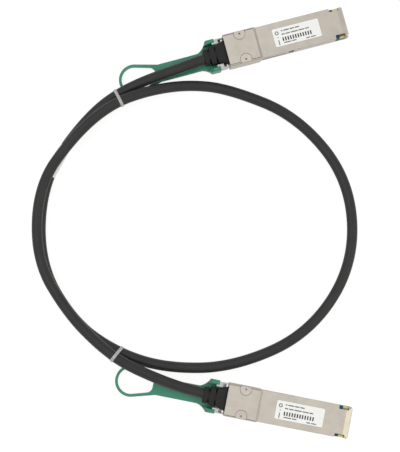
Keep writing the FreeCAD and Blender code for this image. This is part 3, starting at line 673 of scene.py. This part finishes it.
@dataclass
class Tie:
    """A plain closed strap round the two strands of the cable."""

    name: str
    node: str
    near: Place
    across: Place
    width: float = 1.8
    thick: float = 0.4
    clearance: float = 0.06
    round_edge: float = 0.15
    arc_steps: int = 14

    def strands(self, line: Sequence[Vector], along: Vector, point: Vector) -> list[Vector]:
        """Where the two nearest strands pass through the tie's plane.

        Args:
            line: The cable's line.
            along: The strands' direction.
            point: A point of the plane.

        Returns:
            Two points in metres.
        """
        crossings = []
        for first, second in zip(line, line[1:]):
            before, after = (first - point).dot(along), (second - point).dot(along)
            if before * after < 0:
                crossings.append(first.lerp(second, before / (before - after)))
        return sorted(crossings, key=lambda found: (found - point).length)[:2]

    def outline(self, centres: Sequence[Vector], along: Vector, radius: float) -> Loop:
        """The closed line of a strap at a radius round both strands.

        Args:
            centres: The strands' middles.
            along: The strands' direction.
            radius: Distance of the line from the middles, in metres.

        Returns:
            The line's points.
        """
        between = (centres[1] - centres[0]).normalized()
        sideways = along.cross(between).normalized()
        points = []
        for middle, sign in ((centres[0], -1), (centres[1], 1)):
            for step in range(self.arc_steps + 1):
                angle = math.pi * (step / self.arc_steps - 0.5)
                lean = between * (sign * math.cos(angle)) + sideways * (sign * math.sin(angle))
                points.append(middle + lean * radius)
        return points

    def build(self, cord: Cord, workshop: Workshop) -> bpy.types.Object:
        """Makes the tie.

        Args:
            cord: The measured cable.
            workshop: Where the finish comes from.

        Returns:
            The tie's piece.
        """
        along = Vector(self.across).normalized()
        centres = self.strands(cord.line, along, Vector(self.near) * MM)
        inner = cord.diameter / 2 + self.clearance
        outer = inner + self.thick
        half, edge = self.width / 2, self.round_edge
        profile = ((inner, -half), (inner, half), (outer - edge, half), (outer, half - edge),
                   (outer, edge - half), (outer - edge, -half))
        loops = []
        for radius, shift in profile:
            line = self.outline(centres, along, radius * MM)
            loops.append([point + along * shift * MM for point in line])
        shape = bmesh.new()
        stitch(shape, loops, closed_end=True)
        piece = mesh_piece(self.name, shape, ROOT_BODY)
        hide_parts(self.node)
        workshop.dress(piece, Finish.NYLON)
        return piece


@dataclass
class Sleeve:
    """The white wrap-round label on the lower strand, its free edge lapped over itself."""

    start: Place = (-104.0, 25.5, 3.4)
    length: float = 20.0
    thick: float = 0.14
    lap_thick: float = 0.1
    lap_turn: float = 80.0
    sides: int = 40

    def stretch(self, line: Sequence[Vector]) -> list[Vector]:
        """The part of the cable's line that the sleeve covers."""
        start = Vector(self.start) * MM
        begin = min(range(len(line)), key=lambda index: (line[index] - start).length)
        points, run = [line[begin]], 0.0
        for first, second in zip(line[begin:], line[begin + 1:]):
            step = (second - first).length
            if run + step > self.length * MM:
                points.append(first.lerp(second, (self.length * MM - run) / step))
                break
            points.append(second)
            run += step
        return points

    def ring(self, middle: Vector, along: Vector, radius: float) -> Loop:
        """One closed ring of the sleeve's surface, thicker where it laps.

        Args:
            middle: The ring's middle.
            along: The cable's direction there.
            radius: The ring's radius in millimetres.

        Returns:
            The ring's points.
        """
        side = along.cross(Vector((0, 0, 1))).normalized()
        up = side.cross(along).normalized()
        points = []
        for index in range(self.sides):
            angle = 2 * math.pi * index / self.sides
            lapped = self.lap_thick if math.degrees(angle) < self.lap_turn else 0.0
            reach = (radius + lapped) * MM
            points.append(middle + (side * math.cos(angle) + up * math.sin(angle)) * reach)
        return points

    def build(self, cord: Cord, workshop: Workshop) -> bpy.types.Object:
        """Makes the sleeve.

        Args:
            cord: The measured cable.
            workshop: Where the finish comes from.

        Returns:
            The sleeve's piece.
        """
        line = self.stretch(cord.line)
        radius = cord.diameter / 2
        directions = [(after - before).normalized() for before, after in zip(line, line[1:])]
        directions.append(directions[-1])
        outer = radius + self.thick
        outside = [self.ring(middle, along, outer) for middle, along in zip(line, directions)]
        inside = [self.ring(line[end], directions[end], radius) for end in (-1, 0)]
        shape = bmesh.new()
        stitch(shape, [*outside, *inside], closed_end=True)
        piece = mesh_piece("wrap_label", shape, ROOT_BODY, smooth=False)
        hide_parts("cable_label")
        workshop.dress(piece, Finish.SLEEVE)
        return piece


@dataclass(frozen=True)
class DashRow:
    """One row of printed dashes, in millimetres from the label's rear edge and middle line."""

    start: float
    low: float
    lengths: Sequence[float]
    height: float

    def corners(self, gap: float) -> list[tuple[Corner, Corner]]:
        """Low and high corners of each dash.

        Args:
            gap: Distance between two dashes.

        Returns:
            A pair of corners for each dash.
        """
        found, x = [], self.start
        for length in self.lengths:
            found.append(((x, self.low), (x + length, self.low + self.height)))
            x += length + gap
        return found


@dataclass
class LabelPrint:
    """Plain printed marks on a plug's label: a row of even bars, short dashes and a round ring."""

    label_rear: float = 28.8
    label_top: float = 10.8
    ink: float = 0.03
    bars: int = 12
    bar_pitch: float = 1.52
    bar_width: float = 0.8
    bar_height: float = 2.3
    bars_from: float = 4.9
    bars_low: float = -2.8
    spot: Corner = (2.4, 2.6)
    spot_radius: float = 1.15
    spot_hole: float = 0.55
    spot_sides: int = 24
    dash_gap: float = 0.5
    dash_rows: Sequence[DashRow] = (
        DashRow(5.1, 3.1, (1.0, 3.4, 2.6, 2.6), 0.65),
        DashRow(5.0, 1.0, (2.0, 2.6, 4.2, 3.6, 2.2), 0.65),
        DashRow(5.2, -4.1, (4.4, 2.6), 0.6),
        DashRow(18.6, -4.6, (2.2, 3.0), 0.6),
        DashRow(2.2, -4.6, (0.55,), 3.0),
        DashRow(2.2, -0.3, (0.6,), 0.5),
    )

    def block(self, shape: bmesh.types.BMesh, place: Matrix, low: Corner, high: Corner) -> None:
        """Adds one thin printed block.

        Args:
            shape: The shape to add to.
            place: The plug's matrix.
            low: Its (x, y) corner nearest the rear and the -Y side.
            high: Its opposite corner.
        """
        loops = []
        for z in (self.label_top, self.label_top + self.ink):
            corners = ((low[0], low[1]), (high[0], low[1]), (high[0], high[1]), (low[0], high[1]))
            loops.append([place @ Vector((self.label_rear + x, y, z)) for x, y in corners])
        stitch(shape, loops, closed_end=False)

    def disc(self, shape: bmesh.types.BMesh, place: Matrix) -> None:
        """Adds the round spot, a flat ring.

        Args:
            shape: The shape to add to.
            place: The plug's matrix.
        """
        x, y = self.spot
        rim, hole = self.spot_radius, self.spot_radius * self.spot_hole
        loops = []
        for reach, lift in ((rim, 0.0), (rim, self.ink), (hole, self.ink), (hole, 0.0)):
            loop = []
            for index in range(self.spot_sides):
                angle = 2 * math.pi * index / self.spot_sides
                loop.append(place @ Vector((self.label_rear + x + reach * math.cos(angle),
                                            y + reach * math.sin(angle), self.label_top + lift)))
            loops.append(loop)
        stitch(shape, loops, closed_end=True)

    def build(self, plug: PlugFrame, workshop: Workshop) -> list[bpy.types.Object]:
        """Makes the dark and the faint marks of one label.

        Args:
            plug: The plug that carries it.
            workshop: Where the finishes come from.

        Returns:
            Both pieces.
        """
        place = plug.matrix()
        dark, faint = bmesh.new(), bmesh.new()
        for index in range(self.bars):
            x = self.bars_from + index * self.bar_pitch
            far_corner = (x + self.bar_width, self.bars_low + self.bar_height)
            self.block(dark, place, (x, self.bars_low), far_corner)
        for row in self.dash_rows:
            for low, high in row.corners(self.dash_gap):
                self.block(faint, place, low, high)
        self.disc(faint, place)
        pieces = []
        marks = ((dark, "bars", Finish.PRINT), (faint, "dashes", Finish.FAINT_PRINT))
        for shape, stem, finish in marks:
            name = f"label_{stem}_{plug.suffix}"
            piece = mesh_piece(name, shape, ROOT_BODY, smooth=False)
            workshop.dress(piece, finish)
            pieces.append(piece)
        return pieces


@dataclass
class Plug:
    """One pluggable module: its frame pieces get their finishes and its label its marks."""

    place: PlugFrame
    print_marks: LabelPrint = field(default_factory=LabelPrint)

    def finishes(self) -> dict[str, Finish]:
        """The finish of each of the plug's nodes, by the node's name without its suffix."""
        return {
            "bottom_shell": Finish.NICKEL, "top_cover": Finish.NICKEL, "cover_rivets": Finish.RIVET,
            "paddle_card": Finish.BOARD, "contact_pads": Finish.GOLD, "memory_chip": Finish.CHIP,
            "wire_pairs": Finish.FOIL, "wire_potting": Finish.POTTING,
            "crimp_ferrule": Finish.FERRULE, "strain_relief": Finish.BOOT,
            "latch_slider": Finish.STEEL, "return_spring_left": Finish.WIRE,
            "return_spring_right": Finish.WIRE, "pull_tab": Finish.GREEN,
            "plug_label": Finish.LABEL,
        }

    def build(self, workshop: Workshop) -> None:
        """Dresses the plug."""
        for stem, finish in self.finishes().items():
            name = f"{stem}_{self.place.suffix}"
            workshop.dress(frame["nodes"][name], finish)
            LOG.info("dressed %s as %s", name, finish.value.name)
        for piece in self.print_marks.build(self.place, workshop):
            LOG.info("made %s", piece.name)


# ------------------------------------------------------------------ studio
@dataclass
class Studio:
    """The table, the soft lamps and the camera."""

    middle: Place = (-18.75, -3.0, 0.0)
    eye: Place = (-18.75, -61.2, 768.8)
    lens: float = 104.64
    sensor: float = 36.0
    nearest: float = 0.01
    farthest: float = 20.0
    table_size: float = 6.0
    table_matt: float = 0.86
    table_bright: float = 0.22
    table_glow: float = 0.86
    sky: float = 0.72
    key_power: float = 2.6
    key_place: Place = (-400.0, 90.0, 960.0)
    key_size: float = 1.0
    fill_power: float = 2.0
    fill_place: Place = (760.0, -260.0, 760.0)
    fill_size: float = 0.6
    fill_colour: Colour = (1.0, 0.97, 0.74)

    def camera(self) -> None:
        """Sets the camera almost straight above the ring."""
        data = bpy.data.cameras.new("camera")
        data.sensor_fit = "AUTO"
        data.sensor_width = self.sensor
        data.lens = self.lens
        data.clip_start, data.clip_end = self.nearest, self.farthest
        camera = bpy.data.objects.new("camera", data)
        bpy.context.scene.collection.objects.link(camera)
        eye, middle = Vector(self.eye) * MM, Vector(self.middle) * MM
        camera.location = eye
        camera.rotation_euler = (middle - eye).to_track_quat("-Z", "Y").to_euler()
        bpy.context.scene.camera = camera

    def table(self) -> None:
        """Lays a plain pale table that keeps a soft shadow."""
        half = self.table_size / 2
        mesh = bpy.data.meshes.new("table")
        corners = [(-half, -half, 0), (half, -half, 0), (half, half, 0), (-half, half, 0)]
        mesh.from_pydata(corners, [], [(0, 1, 2, 3)])
        table = bpy.data.objects.new("table", mesh)
        bpy.context.scene.collection.objects.link(table)
        sheet = Sheet("table_white")
        matt = sheet.add("BsdfDiffuse", Color=rgba((self.table_matt,) * 3))
        bright = sheet.add("BsdfDiffuse", Color=rgba((self.table_bright,) * 3))
        glow = sheet.add("Emission", Color=WHITE, Strength=self.table_glow)
        both = sheet.add("AddShader")
        pick = sheet.add("MixShader")
        sheet.join(bright.outputs[0], both.inputs[0])
        sheet.join(glow.outputs[0], both.inputs[1])
        sheet.join(direct_rays(sheet.tree), pick.inputs[0])
        sheet.join(matt.outputs[0], pick.inputs[1])
        sheet.join(both.outputs[0], pick.inputs[2])
        sheet.join(pick.outputs[0], sheet.output.inputs["Surface"])
        mesh.materials.append(sheet.material)

    def lamp(self, name: str, place: Place, size: float, power: float,
             colour: Colour = (1.0, 1.0, 1.0)) -> None:
        """Hangs one square soft lamp that faces the ring.

        Args:
            name: The lamp's name.
            place: Where it hangs, in millimetres.
            size: Its side in metres.
            power: Its power in watts.
            colour: The light's colour.
        """
        data = bpy.data.lights.new(name, "AREA")
        data.shape = "SQUARE"
        data.size = size
        data.energy = power
        data.color = colour
        lamp = bpy.data.objects.new(name, data)
        bpy.context.scene.collection.objects.link(lamp)
        lamp.location = Vector(place) * MM
        lamp.rotation_euler = (-lamp.location).to_track_quat("-Z", "Y").to_euler()

    def world(self) -> None:
        """Lights everything evenly and shows plain white where the table ends."""
        world = bpy.data.worlds.new("studio")
        bpy.context.scene.world = world
        world.use_nodes = True
        tree = world.node_tree
        tree.nodes.clear()
        mix = tree.nodes.new("ShaderNodeMixShader")
        tree.links.new(direct_rays(tree), mix.inputs[0])
        for index, strength in ((1, self.sky), (2, 1.0)):
            light = tree.nodes.new("ShaderNodeBackground")
            light.inputs["Color"].default_value = WHITE
            light.inputs["Strength"].default_value = strength
            tree.links.new(light.outputs[0], mix.inputs[index])
        output = tree.nodes.new("ShaderNodeOutputWorld")
        tree.links.new(mix.outputs[0], output.inputs["Surface"])

    def build(self) -> None:
        """Sets up the whole studio."""
        self.camera()
        self.table()
        self.world()
        self.lamp("key_lamp", self.key_place, self.key_size, self.key_power)
        self.lamp("fill_lamp", self.fill_place, self.fill_size, self.fill_power,
                  self.fill_colour)
        bpy.context.scene.view_settings.view_transform = "Standard"


def write_sizes() -> None:
    """Brings the scene's placements up to date."""
    bpy.context.view_layer.update()


def main() -> None:
    """Builds the studio, the cord and its pieces, and both plugs."""
    logging.basicConfig(level=logging.INFO, format="%(name)s: %(message)s")
    Studio().build()
    workshop = Workshop()
    upper, lower = PlugFrame("a"), PlugFrame("b")
    cord = Cord(first_plug=lower, last_plug=upper)
    cable = cord.build(workshop)
    LOG.info("made %s", cable.name)
    wraps = (
        Tie("strap_tie_top", "tie_top", near=(-66.2, 71.2, 9.0), across=(0.90, 0.44, 0.0)),
        Tie("strap_tie_bottom", "tie_bottom", near=(-66.8, -77.8, 7.5), across=(-0.79, 0.61, 0.0)),
        Sleeve(),
    )
    on_cable = [wrap.build(cord, workshop) for wrap in wraps]
    for piece in on_cable:
        LOG.info("made %s", piece.name)
    cord.declare()
    for place in (upper, lower):
        Plug(place).build(workshop)
    write_sizes()


if __name__ == "__main__":
    main()
